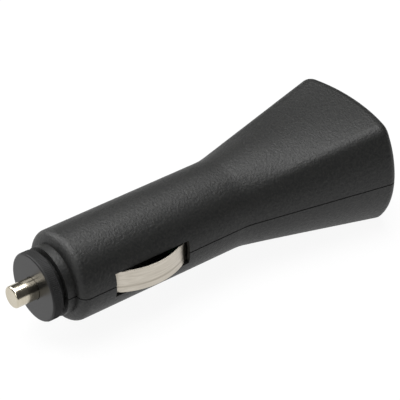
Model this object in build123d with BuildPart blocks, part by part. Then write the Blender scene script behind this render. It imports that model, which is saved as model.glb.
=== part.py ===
"""USB charging adapter for a vehicle's lighter socket, lying on its side.

Two moulded half shells make a round barrel that flares into a grip with a domed end. A screw-on nose
cap holds a sprung centre pin and the fuse behind it, two bowed side contacts stand out of slots in the
barrel, and the voltage converter's board inside carries the USB socket in the domed end.

X runs along the plug's axis from the pin's tip to the domed end, Y across the grip and Z up.
The origin is under the middle of the part, level with the underside of the grip. Millimetres.
"""

from build123d import *
import math
import os

os.makedirs("parts", exist_ok=True)

# Sizes along the plug, from the pin's tip to the domed end
pin_reach = 5.4
cap_thickness = 2.7
cap_gap = 0.9
neck_length = 2.0
barrel_length = 43.8
flare_length = 39.4

# Housing across the axis
barrel_diameter = 20.6
neck_diameter = 15.6
shoulder_round = 2.0
flare_width = 35.2
flare_height = 26.0
flare_top_width = 26.6
flare_corner_radius = 3.8
flare_flat_angle = 30.0
flare_side_angle = 56.0
flare_blend_radius = 14.0
end_plan_radius = 54.0
end_profile_radius = 118.0
rim_round = 2.0
wall = 1.9

# Joint between the two shells
seam_width = 0.24
seam_depth = 0.4
boss_diameter = 4.4
boss_from_end = 9.5
boss_spacing = 22.4
peg_diameter = 1.8
peg_height = 2.4
peg_clearance = 0.15

# Nose cap, screwed over a spigot at the front of the shells
cap_diameter = 15.4
cap_front_wall = 1.0
cap_edge_round = 0.4
cap_rear_bevel = 0.3
spigot_diameter = 12.4
thread_clearance = 0.15

# Sprung centre pin and the glass fuse behind it
pin_diameter = 5.0
pin_tip_round = 0.5
pin_flange_diameter = 7.6
pin_flange_thickness = 1.2
pin_boss_diameter = 4.4
pin_boss_length = 1.7
pin_clearance = 0.1
flange_bore_clearance = 0.3
fuse_length = 20.0
fuse_cap_diameter = 5.2
fuse_cap_length = 5.2
fuse_cap_sheet = 0.3
fuse_tube_bore = 3.8
fuse_fit_clearance = 0.03
fuse_wire_diameter = 0.35
fuse_guide_clearance = 0.6
guide_rib_width = 10.0
guide_rib_thickness = 1.2
guide_rib_places = (0.3, 0.6, 0.9)

# Coil spring and the plate that it bears on
spring_length = 9.0
spring_diameter = 4.7
spring_wire = 0.55
spring_turns = 5
spring_end_gap = 0.05
plate_width = 7.0
plate_height = 6.6
plate_sheet = 0.4
plate_foot_length = 3.4

# Bowed side contacts in their slots
contact_width = 5.4
contact_sheet = 0.4
contact_bow_length = 18.5
contact_stand_out = 1.55
contact_tab_depth = 1.4
contact_tab_length = 2.0
contact_bend_radius = 1.2
lug_width = 3.0
lug_length = 3.4
slot_from_shoulder = 8.6
slot_length = 19.2
bow_from_slot_front = 0.5
slot_height = 6.0
slot_wall = 0.85
channel_clearance = 0.4

# Leads from the side contacts to the board
lead_diameter = 1.0
lead_gap = 0.3
lead_run = 2.6
lead_inset = 3.8
lead_bend_radius = 1.2

# Circuit board, and the ribs and posts that hold it
board_thickness = 1.2
board_edge_gap = 0.75
board_end_gap = 3.0
board_rib_thickness = 1.2
board_rib_places = (0.06, 0.5, 0.92)
board_rib_ledge = 1.5
board_clearance = 0.1
post_width = 2.4
post_thickness = 1.4
post_places = (0.25, 0.75)

# USB socket
usb_width = 13.1
usb_height = 5.72
usb_length = 14.0
usb_sheet = 0.3
usb_mouth_recess = 0.8
usb_window_clearance = 0.2
usb_corner_radius = 0.6
usb_leg_place = 0.3
usb_leg_width = 1.6
usb_leg_below_board = 0.8
usb_finger_spacing = 6.2
usb_finger_width = 1.8
usb_finger_length = 5.0
usb_finger_setback = 2.4
usb_finger_slit = 0.35
tongue_width = 11.0
tongue_thickness = 1.84
tongue_top_gap = 0.62
tongue_recess = 2.2
tongue_base_length = 3.4
contact_strip_width = 1.0
contact_strip_thickness = 0.25
contact_strip_setback = 0.6
contact_strip_tail = 0.9
contact_strip_bend = 0.5
contact_strip_clearance = 0.05
outer_contact_place = 3.5
inner_contact_place = 1.0

# Converter parts on the board
input_capacitor_diameter = 6.3
input_capacitor_height = 7.4
output_capacitor_diameter = 5.0
output_capacitor_height = 7.0
capacitor_groove = 0.3
capacitor_edge = 0.4
chip_length = 4.9
chip_width = 3.9
chip_height = 1.5
chip_lead_count = 4
chip_lead_pitch = 1.27
chip_lead_width = 0.4
chip_lead_reach = 1.05
inductor_diameter = 8.0
inductor_height = 7.0
inductor_flange = 1.2
inductor_core_diameter = 3.6
winding_diameter = 7.2
diode_length = 4.3
diode_width = 2.6
diode_height = 2.1
diode_tab = 0.5
diode_tab_thickness = 0.3
resistor_length = 2.0
resistor_width = 1.25
resistor_height = 0.55
resistor_end = 0.4
resistor_end_step = 0.05
resistor_spacing = 5.0

# Indicator lamp above the USB socket
lamp_diameter = 3.0
lamp_flange_diameter = 3.8
lamp_flange_thickness = 1.0
lamp_height = 7.6
lamp_hole_clearance = 0.1
lamp_recess = 0.15
lamp_lead = 0.5
lamp_lead_pitch = 2.54
lamp_lead_bend = 0.8

# Places worked out from the sizes above
overall_length = pin_reach + cap_thickness + cap_gap + neck_length + barrel_length + flare_length
pin_tip = -overall_length / 2
cap_face = pin_tip + pin_reach
cap_rear = cap_face + cap_thickness
neck_front = cap_rear + cap_gap
shoulder = neck_front + neck_length
flare_start = shoulder + barrel_length
end_face = flare_start + flare_length

barrel_radius = barrel_diameter / 2
axis_height = flare_height / 2
plug_axis = Axis((0, 0, axis_height), (1, 0, 0))

flange_front = cap_face + cap_front_wall + pin_clearance
flange_rear = flange_front + pin_flange_thickness
fuse_front = flange_rear + pin_boss_length
fuse_rear = fuse_front + fuse_length
plate_front = fuse_rear + spring_length
spigot_front = flange_front
flange_bore = pin_flange_diameter + 2 * flange_bore_clearance
fuse_tube_diameter = fuse_cap_diameter - 2 * fuse_cap_sheet - 2 * fuse_fit_clearance

slot_front = shoulder + slot_from_shoulder
bow_front = slot_front + bow_from_slot_front
bow_rear = bow_front + contact_bow_length
tab_front = bow_front - contact_tab_length
tab_rear = bow_rear + contact_tab_length
lug_rear = tab_rear + lug_length
tab_face = barrel_radius - contact_tab_depth
lead_x = lug_rear + lead_gap + lead_run

board_drop = usb_height / 2
board_top = axis_height - board_drop
board_front = plate_front
board_rear = end_face - board_end_gap
board_length = board_rear - board_front
board_chord = math.sqrt((barrel_radius - wall) ** 2 - (board_drop + board_thickness) ** 2)
board_width = 2 * (board_chord - board_edge_gap)
usb_mouth = end_face - usb_mouth_recess
usb_rear = usb_mouth - usb_length
usb_leg_x = usb_rear + usb_leg_place * usb_length

# Converter parts stand in a row from the spring plate's foot to the lamp's leads, evenly spaced
lamp_lead_x = usb_rear - contact_strip_tail - lamp_lead_pitch / 2
row_front = plate_front + plate_foot_length
row_lengths = (
    input_capacitor_diameter,
    resistor_width,
    chip_length,
    inductor_diameter,
    diode_width,
    output_capacitor_diameter,
)
row_gap = (lamp_lead_x - lamp_lead / 2 - row_front - sum(row_lengths)) / (len(row_lengths) + 1)
row_places = [
    row_front + row_gap * (i + 1) + sum(row_lengths[:i]) + row_lengths[i] / 2
    for i in range(len(row_lengths))
]
input_capacitor_x, resistor_x, chip_x, inductor_x, diode_x, output_capacitor_x = row_places


def across(x):
    """Plane square to the plug's axis at x, with its own x along Y and its own y along Z."""
    return Plane(origin=(x, 0, axis_height), x_dir=(0, 1, 0), z_dir=(1, 0, 0))


def upright(y):
    """Upright plane along the plug at y, with its own x along X and its own y along Z."""
    return Plane(origin=(0, y, axis_height), x_dir=(1, 0, 0), z_dir=(0, -1, 0))


def level(z):
    """Level plane at height z, with its own x along X and its own y along Y."""
    return Plane(origin=(0, 0, z), x_dir=(1, 0, 0), z_dir=(0, 0, 1))


def at_dome(size, sagitta_radius):
    """Half of a flare size carried on from the rounded rim to the plane of the dome's top."""
    setback = size**2 / (8 * sagitta_radius) + rim_round
    grow = flare_length / (flare_length - setback)
    return barrel_radius + (size / 2 - barrel_radius) * grow


# Outer form of the housing, taken in by an inset for its cavity and for the floor of the seam
def flare_end_outline(inset):
    """Outline of the flare at the dome: flat top and bottom, bulged sides and round corners."""
    side = at_dome(flare_width, end_plan_radius)
    top = at_dome(flare_height, end_profile_radius)
    flat = flare_top_width / 2
    with BuildSketch(across(end_face)) as outline:
        with BuildLine():
            Line((-flat, top), (flat, top))
            ThreePointArc((flat, top), (side, 0), (flat, -top))
            Line((flat, -top), (-flat, -top))
            ThreePointArc((-flat, -top), (-side, 0), (-flat, top))
        make_face()
        fillet(outline.vertices(), flare_corner_radius)
        if inset > 0:
            offset(amount=-inset, kind=Kind.INTERSECTION, mode=Mode.REPLACE)
    return outline.sketch


def flare_start_outline(inset):
    """The barrel's circle in eight arcs, one for each side and corner of the flare's end."""
    quarter = (flare_flat_angle, flare_side_angle)
    marks = [*quarter, *(180 - angle for angle in reversed(quarter))]
    marks += [180 + angle for angle in marks]
    with BuildSketch(across(flare_start)) as outline:
        with BuildLine():
            for mark, following in zip(marks, marks[1:] + [marks[0] + 360]):
                CenterArc((0, 0), barrel_radius - inset, 90 - following, following - mark)
        make_face()
    return outline.sketch


def end_dome(inset):
    """Solid bounded at the rear by the domed end, round in plan and a little round in profile."""
    centre_x = end_face - end_plan_radius
    reach = end_plan_radius - inset
    edge = reach - end_profile_radius + math.sqrt(end_profile_radius**2 - flare_height**2)
    with BuildPart() as dome:
        with BuildSketch(upright(0)):
            with BuildLine():
                ThreePointArc(
                    (centre_x + edge, -flare_height),
                    (centre_x + reach, 0),
                    (centre_x + edge, flare_height),
                )
                Polyline(
                    (centre_x + edge, flare_height),
                    (centre_x, flare_height),
                    (centre_x, -flare_height),
                    (centre_x + edge, -flare_height),
                )
            make_face()
        revolve(axis=Axis((centre_x, 0, 0), (0, 0, 1)))
    return dome.part


def housing_form(inset):
    """Neck, shoulder, barrel and flare as one solid, taken in all round by the inset."""
    neck_radius = neck_diameter / 2 - inset
    turn_height = barrel_radius - shoulder_round
    with BuildPart() as form:
        add(flare_start_outline(inset))
        add(flare_end_outline(inset))
        loft(ruled=True)
        add(end_dome(inset), mode=Mode.INTERSECT)
        if rim_round > inset:
            rim = form.faces().sort_by(Axis.X)[-1].edges()
            fillet(rim, rim_round - inset)
        with BuildSketch(upright(0)):
            with BuildLine():
                Polyline(
                    (flare_start, 0),
                    (neck_front + inset, 0),
                    (neck_front + inset, neck_radius),
                    (shoulder + inset, neck_radius),
                    (shoulder + inset, turn_height),
                )
                turn = CenterArc((shoulder + shoulder_round, turn_height), shoulder_round - inset, 180, -90)
                Polyline(turn @ 1, (flare_start, barrel_radius - inset), (flare_start, 0))
            make_face()
        revolve(axis=plug_axis)
        root = form.edges().filter_by_position(Axis.X, flare_start - 0.01, flare_start + 0.01)
        fillet(root.filter_by(GeomType.CIRCLE), flare_blend_radius)
    return form.part


outer_form = housing_form(0)
cavity_form = housing_form(wall)
mid_wall_form = housing_form(wall / 2)

with BuildPart() as seam_groove:
    with Locations((neck_front, 0, axis_height)):
        Box(
            overall_length,
            2 * flare_width,
            seam_width,
            align=(Align.MIN, Align.CENTER, Align.CENTER),
        )
    add(housing_form(seam_depth), mode=Mode.SUBTRACT)

# Channels inside the barrel where its wall is thinned over the side contacts' tabs and leads
with BuildPart() as contact_channels:
    with Locations((tab_front - channel_clearance, 0, axis_height)):
        Box(
            lead_x + lead_diameter / 2 - tab_front + 2 * channel_clearance,
            barrel_diameter,
            contact_width + 2 * channel_clearance,
            align=(Align.MIN, Align.CENTER, Align.CENTER),
        )
    with BuildSketch(across(neck_front)):
        Circle(barrel_radius - slot_wall)
    extrude(amount=overall_length, mode=Mode.INTERSECT)
    add(cavity_form, mode=Mode.SUBTRACT)


def shell_blank(keep):
    """One half of the housing, with what both halves have in common."""
    with BuildPart() as blank:
        add(outer_form)
        add(cavity_form, mode=Mode.SUBTRACT)

        # Spigot that the nose cap screws over, bored for the pin's flange
        with BuildSketch(across(spigot_front)):
            Circle(spigot_diameter / 2)
        extrude(amount=neck_front + wall - spigot_front)
        with BuildSketch(across(spigot_front)):
            Circle(flange_bore / 2)
        extrude(amount=neck_front + 2 * wall - spigot_front, mode=Mode.SUBTRACT)

        # Ribs that guide the fuse
        for place in guide_rib_places:
            with BuildSketch(across(fuse_front + place * fuse_length)):
                Rectangle(guide_rib_width, barrel_diameter)
                Circle(barrel_radius - wall / 2, mode=Mode.INTERSECT)
                Circle(fuse_cap_diameter / 2 + fuse_guide_clearance, mode=Mode.SUBTRACT)
            extrude(amount=guide_rib_thickness / 2, both=True)

        # Slots for the side contacts, with the thinned wall round them
        add(contact_channels.part, mode=Mode.SUBTRACT)
        with Locations((slot_front, -barrel_radius, axis_height), (slot_front, barrel_radius, axis_height)):
            Box(
                slot_length,
                barrel_radius / 2,
                slot_height,
                align=(Align.MIN, Align.CENTER, Align.CENTER),
                mode=Mode.SUBTRACT,
            )

        # Window for the USB socket
        with BuildSketch(across(end_face)):
            RectangleRounded(
                usb_width + 2 * usb_window_clearance,
                usb_height + 2 * usb_window_clearance,
                usb_corner_radius + usb_window_clearance,
            )
        extrude(amount=-2 * wall, mode=Mode.SUBTRACT)

        add(seam_groove.part, mode=Mode.SUBTRACT)
        split(bisect_by=level(axis_height), keep=keep)
    return blank.part


boss_x = end_face - boss_from_end

# Upper shell, with the lamp's hole, sockets for the pegs and posts that press on the USB socket
with BuildPart() as upper_inside:
    with BuildSketch(level(axis_height)):
        with Locations((boss_x, -boss_spacing / 2), (boss_x, boss_spacing / 2)):
            Circle(boss_diameter / 2)
    extrude(amount=flare_height)
    with BuildSketch(level(axis_height + usb_height / 2 + board_clearance)):
        for place in post_places:
            for side in (-1, 1):
                with Locations((usb_rear + place * usb_length, side * (usb_width / 2 - post_width))):
                    Rectangle(post_thickness, post_width)
    extrude(amount=flare_height)
    add(mid_wall_form, mode=Mode.INTERSECT)
    with BuildSketch(level(axis_height)):
        with Locations((boss_x, -boss_spacing / 2), (boss_x, boss_spacing / 2)):
            Circle(peg_diameter / 2 + peg_clearance)
    extrude(amount=peg_height + 2 * peg_clearance, mode=Mode.SUBTRACT)

with BuildPart() as upper_shell:
    add(shell_blank(Keep.TOP))
    add(upper_inside.part)
    with BuildSketch(across(end_face)):
        with Locations((0, lamp_height)):
            Circle(lamp_diameter / 2 + lamp_hole_clearance)
    extrude(amount=-2 * wall, mode=Mode.SUBTRACT)
upper_shell.part.label = "upper_shell"
export_step(upper_shell.part, "parts/upper_shell.step")

# Lower shell, with the pegs and the ribs that carry the board
with BuildPart() as lower_inside:
    with BuildSketch(level(axis_height)):
        with Locations((boss_x, -boss_spacing / 2), (boss_x, boss_spacing / 2)):
            Circle(boss_diameter / 2)
    extrude(amount=-flare_height)
    for place in board_rib_places:
        with BuildSketch(across(board_front + place * board_length)):
            with Locations((0, -board_drop)):
                Rectangle(
                    board_width + 2 * board_rib_ledge,
                    flare_height,
                    align=(Align.CENTER, Align.MAX),
                )
                Rectangle(
                    board_width + 2 * board_clearance,
                    board_thickness,
                    align=(Align.CENTER, Align.MAX),
                    mode=Mode.SUBTRACT,
                )
        extrude(amount=board_rib_thickness / 2, both=True)
    add(mid_wall_form, mode=Mode.INTERSECT)

with BuildPart() as lower_shell:
    add(shell_blank(Keep.BOTTOM))
    add(lower_inside.part)
    with BuildSketch(level(axis_height - peg_height)):
        with Locations((boss_x, -boss_spacing / 2), (boss_x, boss_spacing / 2)):
            Circle(peg_diameter / 2)
    extrude(amount=2 * peg_height)
lower_shell.part.label = "lower_shell"
export_step(lower_shell.part, "parts/lower_shell.step")

# Nose cap, bored for the pin in front and for the spigot behind
with BuildPart() as nose_cap:
    with BuildSketch(across(cap_face)):
        Circle(cap_diameter / 2)
    extrude(amount=cap_thickness)
    fillet(nose_cap.edges().sort_by(Axis.X)[0], cap_edge_round)
    chamfer(nose_cap.edges().sort_by(Axis.X)[-1], cap_rear_bevel)
    with BuildSketch(across(cap_face)):
        Circle(pin_diameter / 2 + pin_clearance)
    extrude(amount=cap_thickness, mode=Mode.SUBTRACT)
    with BuildSketch(across(cap_face + cap_front_wall)):
        Circle(spigot_diameter / 2 + thread_clearance)
    extrude(amount=cap_thickness, mode=Mode.SUBTRACT)
nose_cap.part.label = "nose_cap"
export_step(nose_cap.part, "parts/nose_cap.step")

# Centre pin, turned with a flange that stops it against the cap and a boss that meets the fuse
with BuildPart() as centre_pin:
    with BuildSketch(across(pin_tip)):
        Circle(pin_diameter / 2)
    extrude(amount=flange_rear - pin_tip)
    fillet(centre_pin.edges().sort_by(Axis.X)[0], pin_tip_round)
    with BuildSketch(across(flange_front)):
        Circle(pin_flange_diameter / 2)
    extrude(amount=pin_flange_thickness)
    with BuildSketch(across(flange_rear)):
        Circle(pin_boss_diameter / 2)
    extrude(amount=pin_boss_length)
centre_pin.part.label = "centre_pin"
export_step(centre_pin.part, "parts/centre_pin.step")

# Fuse: a glass tube between two pressed caps, with the wire along its axis
with BuildPart() as fuse_tube:
    with BuildSketch(across(fuse_front + fuse_cap_sheet)):
        Circle(fuse_tube_diameter / 2)
        Circle(fuse_tube_bore / 2, mode=Mode.SUBTRACT)
    extrude(amount=fuse_length - 2 * fuse_cap_sheet)
fuse_tube.part.label = "fuse_tube"
export_step(fuse_tube.part, "parts/fuse_tube.step")


def fuse_cap(closed_end, direction):
    """Pressed cup closed at one end, with its open end along the direction."""
    with BuildPart() as cup:
        with BuildSketch(across(closed_end)):
            Circle(fuse_cap_diameter / 2)
        extrude(amount=direction * fuse_cap_length)
        with BuildSketch(across(closed_end + direction * fuse_cap_sheet)):
            Circle(fuse_cap_diameter / 2 - fuse_cap_sheet)
        extrude(amount=direction * fuse_cap_length, mode=Mode.SUBTRACT)
    return cup.part


with BuildPart() as fuse_cap_front:
    add(fuse_cap(fuse_front, 1))
fuse_cap_front.part.label = "fuse_cap_front"
export_step(fuse_cap_front.part, "parts/fuse_cap_front.step")

with BuildPart() as fuse_cap_rear:
    add(fuse_cap(fuse_rear, -1))
fuse_cap_rear.part.label = "fuse_cap_rear"
export_step(fuse_cap_rear.part, "parts/fuse_cap_rear.step")

with BuildPart() as fuse_wire:
    with BuildSketch(across(fuse_front + fuse_cap_sheet)):
        Circle(fuse_wire_diameter / 2)
    extrude(amount=fuse_length - 2 * fuse_cap_sheet)
fuse_wire.part.label = "fuse_wire"
export_step(fuse_wire.part, "parts/fuse_wire.step")

# Coil spring between the fuse and the plate on the board
spring_rise = spring_length - spring_wire - 2 * spring_end_gap
with BuildPart() as contact_spring:
    with BuildLine() as coil:
        Helix(
            pitch=spring_rise / spring_turns,
            height=spring_rise,
            radius=(spring_diameter - spring_wire) / 2,
            center=(fuse_rear + spring_end_gap + spring_wire / 2, 0, axis_height),
            direction=(1, 0, 0),
        )
    with BuildSketch(Plane(origin=coil.line @ 0, z_dir=coil.line % 0)):
        Circle(spring_wire / 2)
    sweep(path=coil.line, is_frenet=True)
contact_spring.part.label = "contact_spring"
export_step(contact_spring.part, "parts/contact_spring.step")

with BuildPart() as spring_plate:
    with BuildSketch(upright(0)):
        with BuildLine():
            FilletPolyline(
                (plate_front, plate_height - board_drop),
                (plate_front, -board_drop),
                (plate_front + plate_foot_length, -board_drop),
                radius=2 * plate_sheet,
            )
            offset(amount=plate_sheet, side=Side.LEFT)
        make_face()
    extrude(amount=plate_width / 2, both=True)
spring_plate.part.label = "spring_plate"
export_step(spring_plate.part, "parts/spring_plate.step")


# Side contacts, each bowed out of its slot between two tabs that lie under the barrel's wall
def side_contact(side):
    """Strip for the side at -Y or +Y, with a narrow lug behind it for the lead."""
    crest = side * (barrel_radius + contact_stand_out)
    tab = side * tab_face
    inner_tab = tab - side * contact_sheet
    inward = Side.LEFT if side < 0 else Side.RIGHT
    with BuildPart() as strip:
        with BuildSketch(level(axis_height)):
            with BuildLine() as run:
                Line((tab_front, tab), (bow_front, tab))
                ThreePointArc((bow_front, tab), ((bow_front + bow_rear) / 2, crest), (bow_rear, tab))
                Line((bow_rear, tab), (tab_rear, tab))
                fillet(run.vertices().sort_by(Axis.X)[1:-1], contact_bend_radius)
                offset(amount=contact_sheet, side=inward)
            make_face()
        extrude(amount=contact_width / 2, both=True)
        with BuildSketch(level(axis_height)):
            with Locations((tab_rear, (tab + inner_tab) / 2)):
                Rectangle(lug_length, contact_sheet, align=(Align.MIN, Align.CENTER))
        extrude(amount=lug_width / 2, both=True)
    return strip.part


def ground_lead(side):
    """Wire that runs from behind a side contact's lug in towards the axis and down to the board."""
    reach = side * (tab_face - contact_sheet / 2)
    with BuildPart() as lead:
        with BuildLine() as run:
            FilletPolyline(
                (lug_rear + lead_gap, reach, axis_height),
                (lead_x, reach, axis_height),
                (lead_x, reach - side * lead_inset, axis_height),
                (lead_x, reach - side * lead_inset, board_top),
                radius=lead_bend_radius,
            )
        with BuildSketch(Plane(origin=run.line @ 0, z_dir=run.line % 0)):
            Circle(lead_diameter / 2)
        sweep(path=run.line)
    return lead.part


with BuildPart() as side_contact_left:
    add(side_contact(-1))
side_contact_left.part.label = "side_contact_left"
export_step(side_contact_left.part, "parts/side_contact_left.step")

with BuildPart() as side_contact_right:
    add(side_contact(1))
side_contact_right.part.label = "side_contact_right"
export_step(side_contact_right.part, "parts/side_contact_right.step")

with BuildPart() as ground_lead_left:
    add(ground_lead(-1))
ground_lead_left.part.label = "ground_lead_left"
export_step(ground_lead_left.part, "parts/ground_lead_left.step")

with BuildPart() as ground_lead_right:
    add(ground_lead(1))
ground_lead_right.part.label = "ground_lead_right"
export_step(ground_lead_right.part, "parts/ground_lead_right.step")

# Circuit board, notched for the USB socket's legs
with BuildPart() as circuit_board:
    with BuildSketch(level(board_top)):
        with Locations((board_front, 0)):
            Rectangle(board_length, board_width, align=(Align.MIN, Align.CENTER))
        for side in (-1, 1):
            with Locations((usb_leg_x, side * usb_width / 2)):
                Rectangle(
                    usb_leg_width + 4 * board_clearance,
                    2 * usb_sheet + 2 * board_clearance,
                    mode=Mode.SUBTRACT,
                )
    extrude(amount=-board_thickness)
circuit_board.part.label = "circuit_board"
export_step(circuit_board.part, "parts/circuit_board.step")

# USB socket: folded shield with slit spring fingers and two legs through the board
with BuildPart() as usb_shield:
    with BuildSketch(across(usb_rear)):
        RectangleRounded(usb_width, usb_height, usb_corner_radius)
        RectangleRounded(
            usb_width - 2 * usb_sheet,
            usb_height - 2 * usb_sheet,
            usb_corner_radius - usb_sheet,
            mode=Mode.SUBTRACT,
        )
    extrude(amount=usb_length)
    with BuildSketch(level(axis_height)):
        for side in (-1, 1):
            with Locations((usb_mouth - usb_finger_setback, side * usb_finger_spacing / 2)):
                Rectangle(
                    usb_finger_length,
                    usb_finger_width + 2 * usb_finger_slit,
                    align=(Align.MAX, Align.CENTER),
                )
                Rectangle(
                    usb_finger_length - usb_finger_slit,
                    usb_finger_width,
                    align=(Align.MAX, Align.CENTER),
                    mode=Mode.SUBTRACT,
                )
    extrude(amount=usb_height, both=True, mode=Mode.SUBTRACT)
    for side in (-1, 1):
        with BuildSketch(across(usb_leg_x)):
            with Locations((side * (usb_width - usb_sheet) / 2, 0)):
                Rectangle(
                    usb_sheet,
                    usb_height / 2 + board_thickness + usb_leg_below_board,
                    align=(Align.CENTER, Align.MAX),
                )
        extrude(amount=usb_leg_width / 2, both=True)
usb_shield.part.label = "usb_shield"
export_step(usb_shield.part, "parts/usb_shield.step")

tongue_top = usb_height / 2 - usb_sheet - tongue_top_gap
tongue_under = tongue_top - tongue_thickness
tongue_front = usb_mouth - tongue_recess
contact_places = (-outer_contact_place, -inner_contact_place, inner_contact_place, outer_contact_place)

with BuildPart() as usb_tongue:
    with BuildSketch(across(usb_rear)):
        RectangleRounded(
            usb_width - 2 * usb_sheet - 2 * contact_strip_clearance,
            usb_height - 2 * usb_sheet - 2 * contact_strip_clearance,
            usb_corner_radius - usb_sheet,
        )
    extrude(amount=tongue_base_length)
    with BuildSketch(across(usb_rear)):
        with Locations((0, tongue_top)):
            Rectangle(tongue_width, tongue_thickness, align=(Align.CENTER, Align.MAX))
    extrude(amount=tongue_front - usb_rear)
    with BuildSketch(across(usb_rear)):
        for place in contact_places:
            with Locations((place, tongue_under)):
                Rectangle(
                    contact_strip_width + 2 * contact_strip_clearance,
                    contact_strip_thickness + contact_strip_clearance,
                    align=(Align.CENTER, Align.MAX),
                )
    extrude(amount=tongue_base_length, mode=Mode.SUBTRACT)
usb_tongue.part.label = "usb_tongue"
export_step(usb_tongue.part, "parts/usb_tongue.step")


def usb_contact(place):
    """Contact strip under the tongue, with a tail bent down to the board behind the socket."""
    with BuildPart() as strip:
        with BuildSketch(upright(place)):
            with BuildLine():
                FilletPolyline(
                    (tongue_front - contact_strip_setback, tongue_under),
                    (usb_rear - contact_strip_tail, tongue_under),
                    (usb_rear - contact_strip_tail, -board_drop),
                    radius=contact_strip_bend,
                )
                offset(amount=contact_strip_thickness, side=Side.LEFT)
            make_face()
        extrude(amount=contact_strip_width / 2, both=True)
    return strip.part


with BuildPart() as usb_contact_power:
    add(usb_contact(-outer_contact_place))
usb_contact_power.part.label = "usb_contact_power"
export_step(usb_contact_power.part, "parts/usb_contact_power.step")

with BuildPart() as usb_contact_data_minus:
    add(usb_contact(-inner_contact_place))
usb_contact_data_minus.part.label = "usb_contact_data_minus"
export_step(usb_contact_data_minus.part, "parts/usb_contact_data_minus.step")

with BuildPart() as usb_contact_data_plus:
    add(usb_contact(inner_contact_place))
usb_contact_data_plus.part.label = "usb_contact_data_plus"
export_step(usb_contact_data_plus.part, "parts/usb_contact_data_plus.step")

with BuildPart() as usb_contact_ground:
    add(usb_contact(outer_contact_place))
usb_contact_ground.part.label = "usb_contact_ground"
export_step(usb_contact_ground.part, "parts/usb_contact_ground.step")


# Electrolytic capacitors, standing cans with the rolled groove above the base
def capacitor(x, diameter, height):
    """Can of the given size standing on the board at x."""
    radius = diameter / 2
    groove = height / 5
    with BuildPart() as can:
        with BuildSketch(upright(0)):
            with Locations((x, -board_drop)):
                with Locations((0, 0)):
                    Rectangle(radius, height, align=(Align.MIN, Align.MIN))
                with Locations((radius, groove)):
                    Circle(capacitor_groove, mode=Mode.SUBTRACT)
        revolve(axis=Axis((x, 0, 0), (0, 0, 1)))
        fillet(can.edges().sort_by(Axis.Z)[-1], capacitor_edge)
    return can.part


with BuildPart() as input_capacitor:
    add(capacitor(input_capacitor_x, input_capacitor_diameter, input_capacitor_height))
input_capacitor.part.label = "input_capacitor"
export_step(input_capacitor.part, "parts/input_capacitor.step")

with BuildPart() as output_capacitor:
    add(capacitor(output_capacitor_x, output_capacitor_diameter, output_capacitor_height))
output_capacitor.part.label = "output_capacitor"
export_step(output_capacitor.part, "parts/output_capacitor.step")


# Two chip resistors in front of the converter chip
def resistor(side):
    """Chip with a raised metal end at each side."""
    y = side * resistor_spacing / 2
    with BuildPart() as chip:
        with Locations((resistor_x, y, board_top)):
            Box(
                resistor_width,
                resistor_length,
                resistor_height,
                align=(Align.CENTER, Align.CENTER, Align.MIN),
            )
        for end in (-1, 1):
            with Locations((resistor_x, y + end * (resistor_length - resistor_end) / 2, board_top)):
                Box(
                    resistor_width,
                    resistor_end,
                    resistor_height + resistor_end_step,
                    align=(Align.CENTER, Align.CENTER, Align.MIN),
                )
    return chip.part


with BuildPart() as resistor_left:
    add(resistor(-1))
resistor_left.part.label = "resistor_left"
export_step(resistor_left.part, "parts/resistor_left.step")

with BuildPart() as resistor_right:
    add(resistor(1))
resistor_right.part.label = "resistor_right"
export_step(resistor_right.part, "parts/resistor_right.step")

# Converter chip with a row of bent leads along each side
lead_step = chip_lead_reach / 4
with BuildPart() as converter_chip:
    with Locations((chip_x, 0, board_top + lead_step / 2)):
        Box(chip_length, chip_width, chip_height, align=(Align.CENTER, Align.CENTER, Align.MIN))
    for i in range(chip_lead_count):
        with BuildSketch(across(chip_x + (i - (chip_lead_count - 1) / 2) * chip_lead_pitch)):
            for side in (-1, 1):
                inner = side * (chip_width - lead_step) / 2
                knee = side * (chip_width / 2 + lead_step)
                heel = side * (chip_width / 2 + 2 * lead_step)
                toe = side * (chip_width / 2 + 4 * lead_step)
                shelf = chip_height / 2 - board_drop
                with BuildLine():
                    Polyline(
                        (inner, shelf),
                        (heel, shelf),
                        (heel, lead_step - board_drop),
                        (toe, lead_step - board_drop),
                        (toe, -board_drop),
                        (knee, -board_drop),
                        (knee, shelf - lead_step),
                        (inner, shelf - lead_step),
                        close=True,
                    )
                make_face()
        extrude(amount=chip_lead_width / 2, both=True)
converter_chip.part.label = "converter_chip"
export_step(converter_chip.part, "parts/converter_chip.step")

# Inductor: a ferrite bobbin with its winding between the flanges
with BuildPart() as inductor_core:
    with BuildSketch(level(board_top)):
        with Locations((inductor_x, 0)):
            Circle(inductor_diameter / 2)
    extrude(amount=inductor_flange)
    with BuildSketch(level(board_top)):
        with Locations((inductor_x, 0)):
            Circle(inductor_core_diameter / 2)
    extrude(amount=inductor_height)
    with BuildSketch(level(board_top + inductor_height - inductor_flange)):
        with Locations((inductor_x, 0)):
            Circle(inductor_diameter / 2)
    extrude(amount=inductor_flange)
inductor_core.part.label = "inductor_core"
export_step(inductor_core.part, "parts/inductor_core.step")

with BuildPart() as inductor_winding:
    with BuildSketch(level(board_top + inductor_flange + board_clearance)):
        with Locations((inductor_x, 0)):
            Circle(winding_diameter / 2)
            Circle(inductor_core_diameter / 2 + board_clearance, mode=Mode.SUBTRACT)
    extrude(amount=inductor_height - 2 * inductor_flange - 2 * board_clearance)
inductor_winding.part.label = "inductor_winding"
export_step(inductor_winding.part, "parts/inductor_winding.step")

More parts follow.
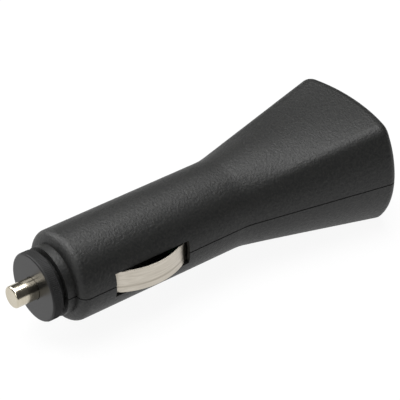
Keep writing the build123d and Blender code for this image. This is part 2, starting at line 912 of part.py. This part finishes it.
# Rectifier diode, lying across the board on its two tabs
with BuildPart() as rectifier_diode:
    with Locations((diode_x, 0, board_top)):
        Box(diode_width, diode_length, diode_height, align=(Align.CENTER, Align.CENTER, Align.MIN))
        Box(
            diode_width / 2,
            diode_length + 2 * diode_tab,
            diode_tab_thickness,
            align=(Align.CENTER, Align.CENTER, Align.MIN),
        )
rectifier_diode.part.label = "rectifier_diode"
export_step(rectifier_diode.part, "parts/rectifier_diode.step")

# Indicator lamp behind its hole, with two leads bent down to the board
lamp_axis = Axis((0, 0, axis_height + lamp_height), (1, 0, 0))
lamp_tip = end_face - lamp_height**2 / (2 * end_profile_radius) - lamp_recess
lamp_flange_top = lamp_height + lamp_flange_diameter / 2
lamp_flange_front = end_face - wall - lamp_flange_top**2 / (2 * end_profile_radius) - board_clearance
lamp_flange_rear = lamp_flange_front - lamp_flange_thickness
with BuildPart() as status_lamp:
    with BuildSketch(across(lamp_flange_rear)):
        with Locations((0, lamp_height)):
            Circle(lamp_flange_diameter / 2)
    extrude(amount=lamp_flange_thickness)
    with BuildSketch(across(lamp_flange_front)):
        with Locations((0, lamp_height)):
            Circle(lamp_diameter / 2)
    extrude(amount=lamp_tip - lamp_flange_front)
    fillet(status_lamp.edges().sort_by(Axis.X)[-1], 0.9 * lamp_diameter / 2)
status_lamp.part.label = "status_lamp"
export_step(status_lamp.part, "parts/status_lamp.step")


def lamp_lead_wire(side):
    """Square lead from the lamp's flange, forward over the USB socket and down to the board."""
    with BuildPart() as lead:
        with BuildSketch(upright(side * lamp_lead_pitch / 2)):
            with BuildLine():
                FilletPolyline(
                    (lamp_flange_rear, lamp_height + lamp_lead / 2),
                    (lamp_lead_x - lamp_lead / 2, lamp_height + lamp_lead / 2),
                    (lamp_lead_x - lamp_lead / 2, -board_drop),
                    radius=lamp_lead_bend,
                )
                offset(amount=lamp_lead, side=Side.LEFT)
            make_face()
        extrude(amount=lamp_lead / 2, both=True)
    return lead.part


with BuildPart() as lamp_lead_left:
    add(lamp_lead_wire(-1))
lamp_lead_left.part.label = "lamp_lead_left"
export_step(lamp_lead_left.part, "parts/lamp_lead_left.step")

with BuildPart() as lamp_lead_right:
    add(lamp_lead_wire(1))
lamp_lead_right.part.label = "lamp_lead_right"
export_step(lamp_lead_right.part, "parts/lamp_lead_right.step")
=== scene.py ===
"""Looks of a black USB charging adapter for a vehicle's lighter socket, built round its CAD frame."""

import math

import bmesh
import bpy
from mathutils import Matrix, Vector


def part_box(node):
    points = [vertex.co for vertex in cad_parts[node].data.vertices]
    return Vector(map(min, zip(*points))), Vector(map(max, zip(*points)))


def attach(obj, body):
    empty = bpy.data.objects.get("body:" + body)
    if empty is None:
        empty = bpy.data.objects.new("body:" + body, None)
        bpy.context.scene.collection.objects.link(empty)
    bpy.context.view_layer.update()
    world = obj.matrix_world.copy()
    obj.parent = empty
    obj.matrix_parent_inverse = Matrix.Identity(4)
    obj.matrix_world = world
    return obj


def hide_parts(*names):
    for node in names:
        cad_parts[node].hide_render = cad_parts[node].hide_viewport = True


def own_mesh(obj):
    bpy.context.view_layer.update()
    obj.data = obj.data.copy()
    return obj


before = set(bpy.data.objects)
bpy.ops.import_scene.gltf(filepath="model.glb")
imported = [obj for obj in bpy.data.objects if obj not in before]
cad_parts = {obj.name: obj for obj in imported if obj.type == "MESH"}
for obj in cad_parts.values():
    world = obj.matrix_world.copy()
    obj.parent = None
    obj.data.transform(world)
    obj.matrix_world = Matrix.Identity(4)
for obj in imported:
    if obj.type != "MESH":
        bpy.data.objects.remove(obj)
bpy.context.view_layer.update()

# Circuit board: glass-fibre laminate under green solder mask, cut from a panel.
# The mask is thin and glossy, so the copper tracks under it show as slightly raised, paler lines.


def linear(hex_colour):
    """Linear colour, with alpha, from an sRGB hex value."""
    parts = [int(hex_colour[i : i + 2], 16) / 255 for i in (1, 3, 5)]
    return (*(c / 12.92 if c <= 0.04045 else ((c + 0.055) / 1.055) ** 2.4 for c in parts), 1.0)


def per_mm(size_mm):
    """Texture scale at which one cell of a pattern measures size_mm, with coordinates in metres."""
    return 1000.0 / size_mm


def wave_per_mm(pitch_mm):
    """Wave texture scale at which one wave measures pitch_mm."""
    return per_mm(pitch_mm) * math.pi / 10


def add_node(material, kind, settings=None, inputs=None):
    """Adds a node, sets its properties, and fills its inputs with values or other nodes' sockets."""
    tree = material.node_tree
    made = tree.nodes.new(kind)
    for name, value in (settings or {}).items():
        setattr(made, name, value)
    for key, value in (inputs or {}).items():
        if isinstance(value, bpy.types.NodeSocket):
            tree.links.new(value, made.inputs[key])
        else:
            made.inputs[key].default_value = value
    return made


def start_material(name, **sockets):
    """New material with one Principled shader, its constant values on the shader's own sockets."""
    material = bpy.data.materials.new(name)
    material.use_nodes = True
    material.node_tree.nodes.clear()
    named = {key.replace("_", " "): value for key, value in sockets.items()}
    shader = add_node(material, "ShaderNodeBsdfPrincipled", inputs=named)
    add_node(material, "ShaderNodeOutputMaterial", inputs={"Surface": shader.outputs["BSDF"]})
    place = add_node(material, "ShaderNodeTexCoord").outputs["Object"]
    return material, shader, place


def raise_by(material, shader, pattern, depth, strength=1.0, invert=False):
    """Bumps the surface by a pattern, up to a depth in metres."""
    relief = add_node(
        material,
        "ShaderNodeBump",
        {"invert": invert},
        {"Height": pattern, "Strength": strength, "Distance": depth},
    )
    material.node_tree.links.new(relief.outputs["Normal"], shader.inputs["Normal"])


def wear(names, material):
    """Gives CAD nodes a material in place of the frame's plain one."""
    for name in names:
        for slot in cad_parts[name].material_slots:
            slot.material = material


mask, mask_shader, place = start_material("solder_mask_on_laminate", Roughness=0.32, IOR=1.5)
tracks = add_node(
    mask,
    "ShaderNodeTexBrick",
    {"offset": 0.5, "squash": 1.0},
    {
        "Vector": place,
        "Color1": linear("#1d5a35"),
        "Color2": linear("#1f6239"),
        "Mortar": linear("#123f25"),
        "Scale": per_mm(6.0),
        "Mortar Size": 0.06,
        "Row Height": 0.3,
    },
)
mask.node_tree.links.new(tracks.outputs["Color"], mask_shader.inputs["Base Color"])
raise_by(mask, mask_shader, tracks.outputs["Fac"], 5e-5, invert=True)
wear(["circuit_board"], mask)

# Converter parts: moulded epoxy chips, a sintered ferrite bobbin with enamelled copper on it, and
# drawn aluminium capacitor cans. All are soldered to the board in a row between plate and socket.


def noise(material, place, cell_mm, detail, stretch=None):
    """Noise with cells of a real size, drawn out along the axes where stretch is small."""
    if stretch:
        drawn_out = add_node(material, "ShaderNodeMapping", inputs={"Vector": place, "Scale": stretch})
        place = drawn_out.outputs["Vector"]
    made = add_node(
        material,
        "ShaderNodeTexNoise",
        inputs={"Vector": place, "Scale": per_mm(cell_mm), "Detail": detail},
    )
    return made.outputs["Fac"]


def colour_by(material, shader, pattern, dark, pale):
    """Colours the shader between two sRGB hex values by a pattern, and returns the colour ramp's node."""
    tone = add_node(material, "ShaderNodeValToRGB", inputs={"Fac": pattern})
    tone.color_ramp.elements[0].color = linear(dark)
    tone.color_ramp.elements[1].color = linear(pale)
    material.node_tree.links.new(tone.outputs["Color"], shader.inputs["Base Color"])
    return tone


def roughen_by(material, shader, pattern, least, most):
    """Sets the shader's roughness by a pattern, from its low value to its high one."""
    shine = add_node(
        material,
        "ShaderNodeMapRange",
        inputs={"Value": pattern, "To Min": least, "To Max": most},
    )
    material.node_tree.links.new(shine.outputs["Result"], shader.inputs["Roughness"])


epoxy, epoxy_shader, place = start_material("moulded_epoxy", Roughness=0.55, IOR=1.55)
filler = noise(epoxy, place, 0.25, 3.0)
colour_by(epoxy, epoxy_shader, filler, "#161617", "#2a2a2c")
raise_by(epoxy, epoxy_shader, filler, 2e-5)
wear(["converter_chip", "rectifier_diode", "resistor_left", "resistor_right"], epoxy)

ferrite, ferrite_shader, place = start_material("sintered_ferrite", Roughness=0.6, IOR=2.0)
grains = add_node(ferrite, "ShaderNodeTexVoronoi", inputs={"Vector": place, "Scale": per_mm(0.2)})
colour_by(ferrite, ferrite_shader, grains.outputs["Distance"], "#2b2b2e", "#3c3c40")
wear(["inductor_core"], ferrite)

copper, copper_shader, place = start_material("enamelled_copper_wire", Metallic=1.0, Roughness=0.3)
turns = add_node(
    copper,
    "ShaderNodeTexWave",
    {"bands_direction": "Z", "wave_profile": "SIN"},
    {"Vector": place, "Scale": wave_per_mm(0.4), "Distortion": 0.4, "Detail": 1.0},
)
colour_by(copper, copper_shader, turns.outputs["Fac"], "#7a3a1c", "#c4703c")
raise_by(copper, copper_shader, turns.outputs["Fac"], 1.5e-4)
wear(["inductor_winding"], copper)

can, can_shader, place = start_material("drawn_aluminium_can", Metallic=1.0)
drawing = noise(can, place, 0.3, 2.0, stretch=(1.0, 1.0, 0.05))
colour_by(can, can_shader, drawing, "#a9abae", "#cfd1d3")
roughen_by(can, can_shader, drawing, 0.22, 0.38)
wear(["input_capacitor", "output_capacitor"], can)

# USB socket: a folded, tinned steel shield round a black moulded tongue with four gold-flashed strips.
# Its legs are soldered in notches of the board, and its mouth stands just inside the domed end.
tin, tin_shader, place = start_material("tinned_steel_sheet", Metallic=1.0)
rolling = noise(tin, place, 0.15, 4.0, stretch=(0.04, 1.0, 1.0))
colour_by(tin, tin_shader, rolling, "#a8a8a4", "#d0cfca")
roughen_by(tin, tin_shader, rolling, 0.2, 0.36)
wear(["usb_shield", "spring_plate", "lamp_lead_left", "lamp_lead_right", "fuse_wire"], tin)

tongue, tongue_shader, place = start_material("glass_filled_polyester", Roughness=0.48, IOR=1.55)
fibres = noise(tongue, place, 0.3, 4.0)
colour_by(tongue, tongue_shader, fibres, "#1a1a1b", "#272728")
wear(["usb_tongue"], tongue)

gold, gold_shader, place = start_material("gold_flash_on_bronze", Metallic=1.0, Roughness=0.24)
patches = noise(gold, place, 0.8, 2.0)
colour_by(gold, gold_shader, patches, "#c79a45", "#e0b963")
wear([f"usb_contact_{line}" for line in ("power", "data_minus", "data_plus", "ground")], gold)

# Indicator lamp: a red-tinted epoxy lens cast round its die, pushed into the hole above the socket.
# The casting is clear enough to look a little deeper red in places.
lens, lens_shader, place = start_material(
    "tinted_epoxy_lens", Roughness=0.12, IOR=1.54, Transmission_Weight=0.55
)
haze = noise(lens, place, 1.2, 1.0)
colour_by(lens, lens_shader, haze, "#a01512", "#c92a22")
wear(["status_lamp"], lens)

# Leads: stranded copper in black PVC, soldered between the side contacts' lugs and the board.
# Extruded PVC is smooth, with a slightly uneven black.
insulation, insulation_shader, place = start_material("extruded_pvc", Roughness=0.42, IOR=1.53)
peel = noise(insulation, place, 0.5, 2.0)
colour_by(insulation, insulation_shader, peel, "#141415", "#202021")
wear(["ground_lead_left", "ground_lead_right"], insulation)

# Coil spring: drawn spring wire, held between the fuse and the plate on the board.
# Drawing leaves fine lines and a grey oxide sheen.
wire, wire_shader, place = start_material("drawn_spring_wire", Metallic=1.0)
oxide = noise(wire, place, 0.12, 2.0)
colour_by(wire, wire_shader, oxide, "#8a8984", "#b5b3ac")
roughen_by(wire, wire_shader, oxide, 0.25, 0.4)
wear(["contact_spring"], wire)
coil = bpy.data.objects.new("coil_spring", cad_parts["contact_spring"].data.copy())
bpy.context.scene.collection.objects.link(coil)
coil.data.materials.clear()
coil.data.materials.append(wire)
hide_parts("contact_spring")
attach(coil, "housing")
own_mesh(coil)

# Fuse: a drawn glass tube between two pressed, nickel-plated caps.
# Clear glass with thin walls, so the wire shows through it when the nose cap is off.
glass, glass_shader, place = start_material(
    "drawn_glass_tube", Base_Color=linear("#f4f8f7"), IOR=1.5, Transmission_Weight=1.0
)
draw_lines = noise(glass, place, 0.6, 1.0, stretch=(0.05, 1.0, 1.0))
roughen_by(glass, glass_shader, draw_lines, 0.0, 0.06)
wear(["fuse_tube"], glass)

# Side contacts and fuse caps: nickel-plated spring strip, rolled lengthwise and blanked to width.
# Rolling lines run along the satin, warm plating, and a darker line of painted shade crosses the contacts'
# lower part at one height.
nickel, nickel_shader, place = start_material("nickel_plated_strip", Metallic=1.0)
rolling = noise(nickel, place, 0.35, 5.0, stretch=(0.05, 0.3, 1.0))
tone = colour_by(nickel, nickel_shader, rolling, "#b9b2a6", "#d0c9bd")
tone.color_ramp.elements[0].position = 0.3
tone.color_ramp.elements[1].position = 0.7
contact_low, contact_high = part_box("side_contact_left")
# Painted shade: a darker line mixed into the plating's colour at one height over the contacts' lower part.
shade_line_height = contact_low[2] + 0.27 * (contact_high[2] - contact_low[2])
shade_line_width = 0.0004
height = add_node(nickel, "ShaderNodeSeparateXYZ", inputs={"Vector": place}).outputs["Z"]
from_shade_line = add_node(nickel, "ShaderNodeMath", {"operation": "SUBTRACT"}, {0: height, 1: shade_line_height})
aside = add_node(nickel, "ShaderNodeMath", {"operation": "ABSOLUTE"}, {0: from_shade_line.outputs["Value"]})
painted_shade_line = add_node(
    nickel,
    "ShaderNodeMapRange",
    inputs={"Value": aside.outputs["Value"], "From Max": shade_line_width, "To Min": 0.6, "To Max": 0.0},
)
# Mixes the painted shade's darker colour into the plating near that line.
shaded = add_node(
    nickel,
    "ShaderNodeMixRGB",
    inputs={0: painted_shade_line.outputs["Result"], 1: tone.outputs["Color"], 2: linear("#8f877a")},
)
nickel.node_tree.links.new(shaded.outputs["Color"], nickel_shader.inputs["Base Color"])
roughen_by(nickel, nickel_shader, rolling, 0.3, 0.46)
raise_by(nickel, nickel_shader, rolling, 1e-5, strength=0.4)
wear(["side_contact_left", "side_contact_right", "fuse_cap_front", "fuse_cap_rear"], nickel)

# Half shells: black ABS moulded in a spark-eroded tool, pegged and welded together along the seam.
# The eroded grain is a fine pebble that scatters the light, with paler specks on its peaks.
abs_black, abs_shader, place = start_material("grained_black_abs", IOR=1.44)
grain_mm = 0.55
pebble = add_node(
    abs_black,
    "ShaderNodeTexNoise",
    inputs={"Vector": place, "Scale": per_mm(grain_mm), "Detail": 3.0, "Roughness": 0.6},
).outputs["Fac"]
tone = colour_by(abs_black, abs_shader, pebble, "#0d0e0e", "#21211f")
tone.color_ramp.elements[0].position = 0.35
tone.color_ramp.elements[1].position = 0.75
tone.color_ramp.elements.new(0.82).color = linear("#454541")
roughen_by(abs_black, abs_shader, pebble, 0.6, 0.42)
raise_by(abs_black, abs_shader, pebble, 1.2e-4)
wear(["upper_shell", "lower_shell"], abs_black)

# Screw thread: a fine ridge moulded round the spigot, one with the shells and of the same ABS.
# The nose cap covers it at rest, and it shows when the cap is off to change the fuse.
cap_low, cap_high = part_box("nose_cap")
cap_middle = (cap_high[2] + cap_low[2]) / 2
spigot_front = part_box("upper_shell")[0][0]
spigot_radius = 0.0062
thread_height = 0.00011
thread_root = 0.0001
thread_half_width = 0.00026
thread_pitch = 0.0008
thread_turns = 2
steps_a_turn = 96
run_out = 0.25
ridge = bmesh.new()
outlines = []
for step in range(thread_turns * steps_a_turn + 1):
    wound = step / steps_a_turn
    angle = 2 * math.pi * wound
    raised = min(1.0, wound / run_out, (thread_turns - wound) / run_out)
    middle_x = spigot_front + thread_half_width + thread_pitch * wound
    outline = []
    for offset, radius in (
        (-thread_half_width, spigot_radius - thread_root),
        (0.0, spigot_radius + thread_height * raised),
        (thread_half_width, spigot_radius - thread_root),
    ):
        y = radius * math.sin(angle)
        z = cap_middle + radius * math.cos(angle)
        outline.append(ridge.verts.new((middle_x + offset, y, z)))
    outlines.append(outline)
for before, after in zip(outlines, outlines[1:]):
    for i in range(3):
        j = (i + 1) % 3
        ridge.faces.new((before[i], before[j], after[j], after[i]))
ridge.faces.new(outlines[0])
ridge.faces.new(outlines[-1])
bmesh.ops.recalc_face_normals(ridge, faces=ridge.faces)
thread_mesh = bpy.data.meshes.new("spigot_thread")
ridge.to_mesh(thread_mesh)
ridge.free()
thread_mesh.materials.append(abs_black)
thread = bpy.data.objects.new("spigot_thread", thread_mesh)
bpy.context.scene.collection.objects.link(thread)
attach(thread, "housing")

# Nose cap: a smooth black nylon ring that screws over the spigot and keeps the pin and fuse in.
# It comes from a polished tool, with fine turning lines left round its face, and its rim is dull.
nylon, nylon_shader, place = start_material("polished_black_nylon", IOR=1.42)
cap_radius = (cap_high[1] - cap_low[1]) / 2
rim_depth = 0.0003
centre = add_node(
    nylon, "ShaderNodeMapping", inputs={"Vector": place, "Location": (0.0, 0.0, -cap_middle)}
).outputs["Vector"]
lines = add_node(
    nylon,
    "ShaderNodeTexWave",
    {"wave_type": "RINGS", "rings_direction": "X", "wave_profile": "SIN"},
    {"Vector": centre, "Scale": wave_per_mm(0.3), "Distortion": 0.3, "Detail": 2.0},
).outputs["Fac"]
colour_by(nylon, nylon_shader, lines, "#0b0b0c", "#121212")
flat = add_node(nylon, "ShaderNodeVectorMath", {"operation": "MULTIPLY"}, {0: centre, 1: (0, 1, 1)})
from_axis = add_node(nylon, "ShaderNodeVectorMath", {"operation": "LENGTH"}, {0: flat.outputs["Vector"]})
dull = add_node(
    nylon,
    "ShaderNodeMapRange",
    inputs={
        "Value": from_axis.outputs["Value"],
        "From Min": cap_radius - rim_depth,
        "From Max": cap_radius,
        "To Min": 0.0,
        "To Max": 0.3,
    },
)
shine = add_node(nylon, "ShaderNodeMapRange", inputs={"Value": lines, "To Min": 0.28, "To Max": 0.34})
rough = add_node(
    nylon,
    "ShaderNodeMath",
    {"operation": "ADD"},
    {0: shine.outputs["Result"], 1: dull.outputs["Result"]},
)
nylon.node_tree.links.new(rough.outputs["Value"], nylon_shader.inputs["Roughness"])
wear(["nose_cap"], nylon)

# Grip on the nose cap: fine ribs moulded round its rim, one piece with the cap and of the same nylon.
# They run along the axis between the rounded front edge and the rear bevel, for turning the cap by hand.
ribs = bpy.data.node_groups.new("rim_ribs", "GeometryNodeTree")
ribs.is_modifier = True
rib_sunk = 0.00002
rib_sizes = {
    "Rib Count": ("NodeSocketInt", 120),
    "Rim Radius": ("NodeSocketFloat", cap_radius - rib_sunk),
    "Rib Length": ("NodeSocketFloat", 0.7 * (cap_high[0] - cap_low[0])),
    "Rib Radius": ("NodeSocketFloat", 0.00008),
}
identifiers = {}
for name, (kind, _) in rib_sizes.items():
    socket = ribs.interface.new_socket(name, in_out="INPUT", socket_type=kind)
    identifiers[name] = socket.identifier
ribs.interface.new_socket("Geometry", in_out="OUTPUT", socket_type="NodeSocketGeometry")
given = ribs.nodes.new("NodeGroupInput")
ring = ribs.nodes.new("GeometryNodeMeshCircle")
ribs.links.new(given.outputs["Rib Count"], ring.inputs["Vertices"])
ribs.links.new(given.outputs["Rim Radius"], ring.inputs["Radius"])
rib = ribs.nodes.new("GeometryNodeMeshCylinder")
rib.inputs["Vertices"].default_value = 8
ribs.links.new(given.outputs["Rib Radius"], rib.inputs["Radius"])
ribs.links.new(given.outputs["Rib Length"], rib.inputs["Depth"])
spread = ribs.nodes.new("GeometryNodeInstanceOnPoints")
ribs.links.new(ring.outputs["Mesh"], spread.inputs["Points"])
ribs.links.new(rib.outputs["Mesh"], spread.inputs["Instance"])
turned_over = ribs.nodes.new("GeometryNodeTransform")
turned_over.inputs["Rotation"].default_value = (0.0, math.pi / 2, 0.0)
turned_over.inputs["Translation"].default_value = ((cap_low[0] + cap_high[0]) / 2, 0.0, cap_middle)
ribs.links.new(spread.outputs["Instances"], turned_over.inputs["Geometry"])
solid = ribs.nodes.new("GeometryNodeRealizeInstances")
ribs.links.new(turned_over.outputs["Geometry"], solid.inputs["Geometry"])
coloured = ribs.nodes.new("GeometryNodeSetMaterial")
coloured.inputs["Material"].default_value = nylon
ribs.links.new(solid.outputs["Geometry"], coloured.inputs["Geometry"])
finished = ribs.nodes.new("NodeGroupOutput")
ribs.links.new(coloured.outputs["Geometry"], finished.inputs["Geometry"])

grip = bpy.data.objects.new("cap_grip", bpy.data.meshes.new("cap_grip_seed"))
bpy.context.scene.collection.objects.link(grip)
maker = grip.modifiers.new("ribs", "NODES")
maker.node_group = ribs
for name, (_, value) in rib_sizes.items():
    maker[identifiers[name]] = value
shaped = grip.evaluated_get(bpy.context.evaluated_depsgraph_get())
grip_mesh = bpy.data.meshes.new_from_object(shaped)
grip.modifiers.remove(maker)
grip.data = grip_mesh
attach(grip, "nose_cap")

# Centre pin: turned brass, bright nickel plated, with a flange behind the cap.
# Turning leaves fine rings that the plating follows, so the highlights run round it.
plate, plate_shader, place = start_material("bright_nickel_on_brass", Metallic=1.0)
rings = noise(plate, place, 0.2, 3.0, stretch=(1.0, 0.05, 0.05))
colour_by(plate, plate_shader, rings, "#b4ac9a", "#d8d0be")
roughen_by(plate, plate_shader, rings, 0.14, 0.26)
wear(["centre_pin"], plate)

# Floor: a plain white sweep that the adapter lies on, pale enough to be the photograph's background.
# Seen straight or in a reflection it is nearly white, and it keeps the soft shadow under the part.
sweep_mesh = bpy.data.meshes.new("floor")
reach = 3.0
sweep_mesh.from_pydata(
    [(-reach, -reach, 0), (reach, -reach, 0), (reach, reach, 0), (-reach, reach, 0)], [], [(0, 1, 2, 3)]
)
floor = bpy.data.objects.new("floor", sweep_mesh)
bpy.context.scene.collection.objects.link(floor)
paper, paper_shader, place = start_material(
    "white_paper_sweep", Base_Color=linear("#e8e8e8"), Roughness=0.9
)
white_share = 0.92
seen = add_node(paper, "ShaderNodeLightPath").outputs
direct = add_node(
    paper, "ShaderNodeMath", {"operation": "MAXIMUM"}, {0: seen["Is Camera Ray"], 1: seen["Is Glossy Ray"]}
)
direct = add_node(
    paper,
    "ShaderNodeMath",
    {"operation": "MAXIMUM"},
    {0: direct.outputs["Value"], 1: seen["Is Transmission Ray"]},
)
share = add_node(
    paper, "ShaderNodeMath", {"operation": "MULTIPLY"}, {0: direct.outputs["Value"], 1: white_share}
)
white = add_node(paper, "ShaderNodeEmission", inputs={"Color": linear("#ffffff"), "Strength": 1.0})
both = add_node(
    paper,
    "ShaderNodeMixShader",
    inputs={0: share.outputs["Value"], 1: paper_shader.outputs["BSDF"], 2: white.outputs["Emission"]},
)
end = [n for n in paper.node_tree.nodes if n.bl_idname == "ShaderNodeOutputMaterial"][0]
paper.node_tree.links.new(both.outputs["Shader"], end.inputs["Surface"])
floor.data.materials.append(paper)

# Light: one large soft box overhead, weaker ones from the nose's side and the back, and a pale room.
# All are plain white and at a plain level, so the black keeps its soft, even tone.
world = bpy.data.worlds.new("pale_room")
bpy.context.scene.world = world
world.use_nodes = True
room = world.node_tree
room.nodes.clear()
room_light = room.nodes.new("ShaderNodeBackground")
room_light.inputs["Color"].default_value = linear("#ffffff")
room_light.inputs["Strength"].default_value = 0.07
room_out = room.nodes.new("ShaderNodeOutputWorld")
room.links.new(room_light.outputs["Background"], room_out.inputs["Surface"])


def soft_box(name, at, aim, width, height, watts):
    """Rectangular area light at a point, facing another."""
    lamp = bpy.data.lights.new(name, "AREA")
    lamp.shape = "RECTANGLE"
    lamp.size = width
    lamp.size_y = height
    lamp.energy = watts
    box = bpy.data.objects.new(name, lamp)
    box.location = at
    box.rotation_euler = (Vector(aim) - Vector(at)).to_track_quat("-Z", "Y").to_euler()
    bpy.context.scene.collection.objects.link(box)


soft_box("top_box", (-0.03, 0.07, 0.6), (0.0, 0.0, 0.0), 0.6, 0.45, 6.2)
soft_box("nose_box", (-0.55, -0.17, 0.3), (0.0, 0.0, 0.01), 0.25, 0.3, 0.8)
soft_box("back_box", (-0.2, 0.45, 0.35), (0.0, 0.0, 0.01), 0.4, 0.3, 2.4)

# Camera: a long lens above and to the near left of the nose, matched to the photograph's outline.
# It stands off from its aim by angles and a distance, with a small roll.
azimuth = math.radians(-38.122)
elevation = math.radians(36.056)
roll = math.radians(0.405)
distance = 0.4594
aim = Vector((0.00388, 0.0, 0.013))
away = Vector(
    (
        math.sin(azimuth) * math.cos(elevation),
        -math.cos(azimuth) * math.cos(elevation),
        math.sin(elevation),
    )
)
level_right = Vector((math.cos(azimuth), math.sin(azimuth), 0.0))
level_up = away.cross(level_right)
right = level_right * math.cos(roll) + level_up * math.sin(roll)
up = level_up * math.cos(roll) - level_right * math.sin(roll)
lens_data = bpy.data.cameras.new("camera")
lens_data.sensor_width = 36.0
lens_data.lens = 188.7
lens_data.shift_x = -0.0139
lens_data.shift_y = 0.0246
lens_data.clip_start = 0.01
camera = bpy.data.objects.new("camera", lens_data)
turn = Matrix((right, up, away)).transposed().to_4x4()
camera.matrix_world = Matrix.Translation(aim + away * distance) @ turn
bpy.context.scene.collection.objects.link(camera)
bpy.context.scene.camera = camera

bpy.context.scene.view_settings.view_transform = "Standard"
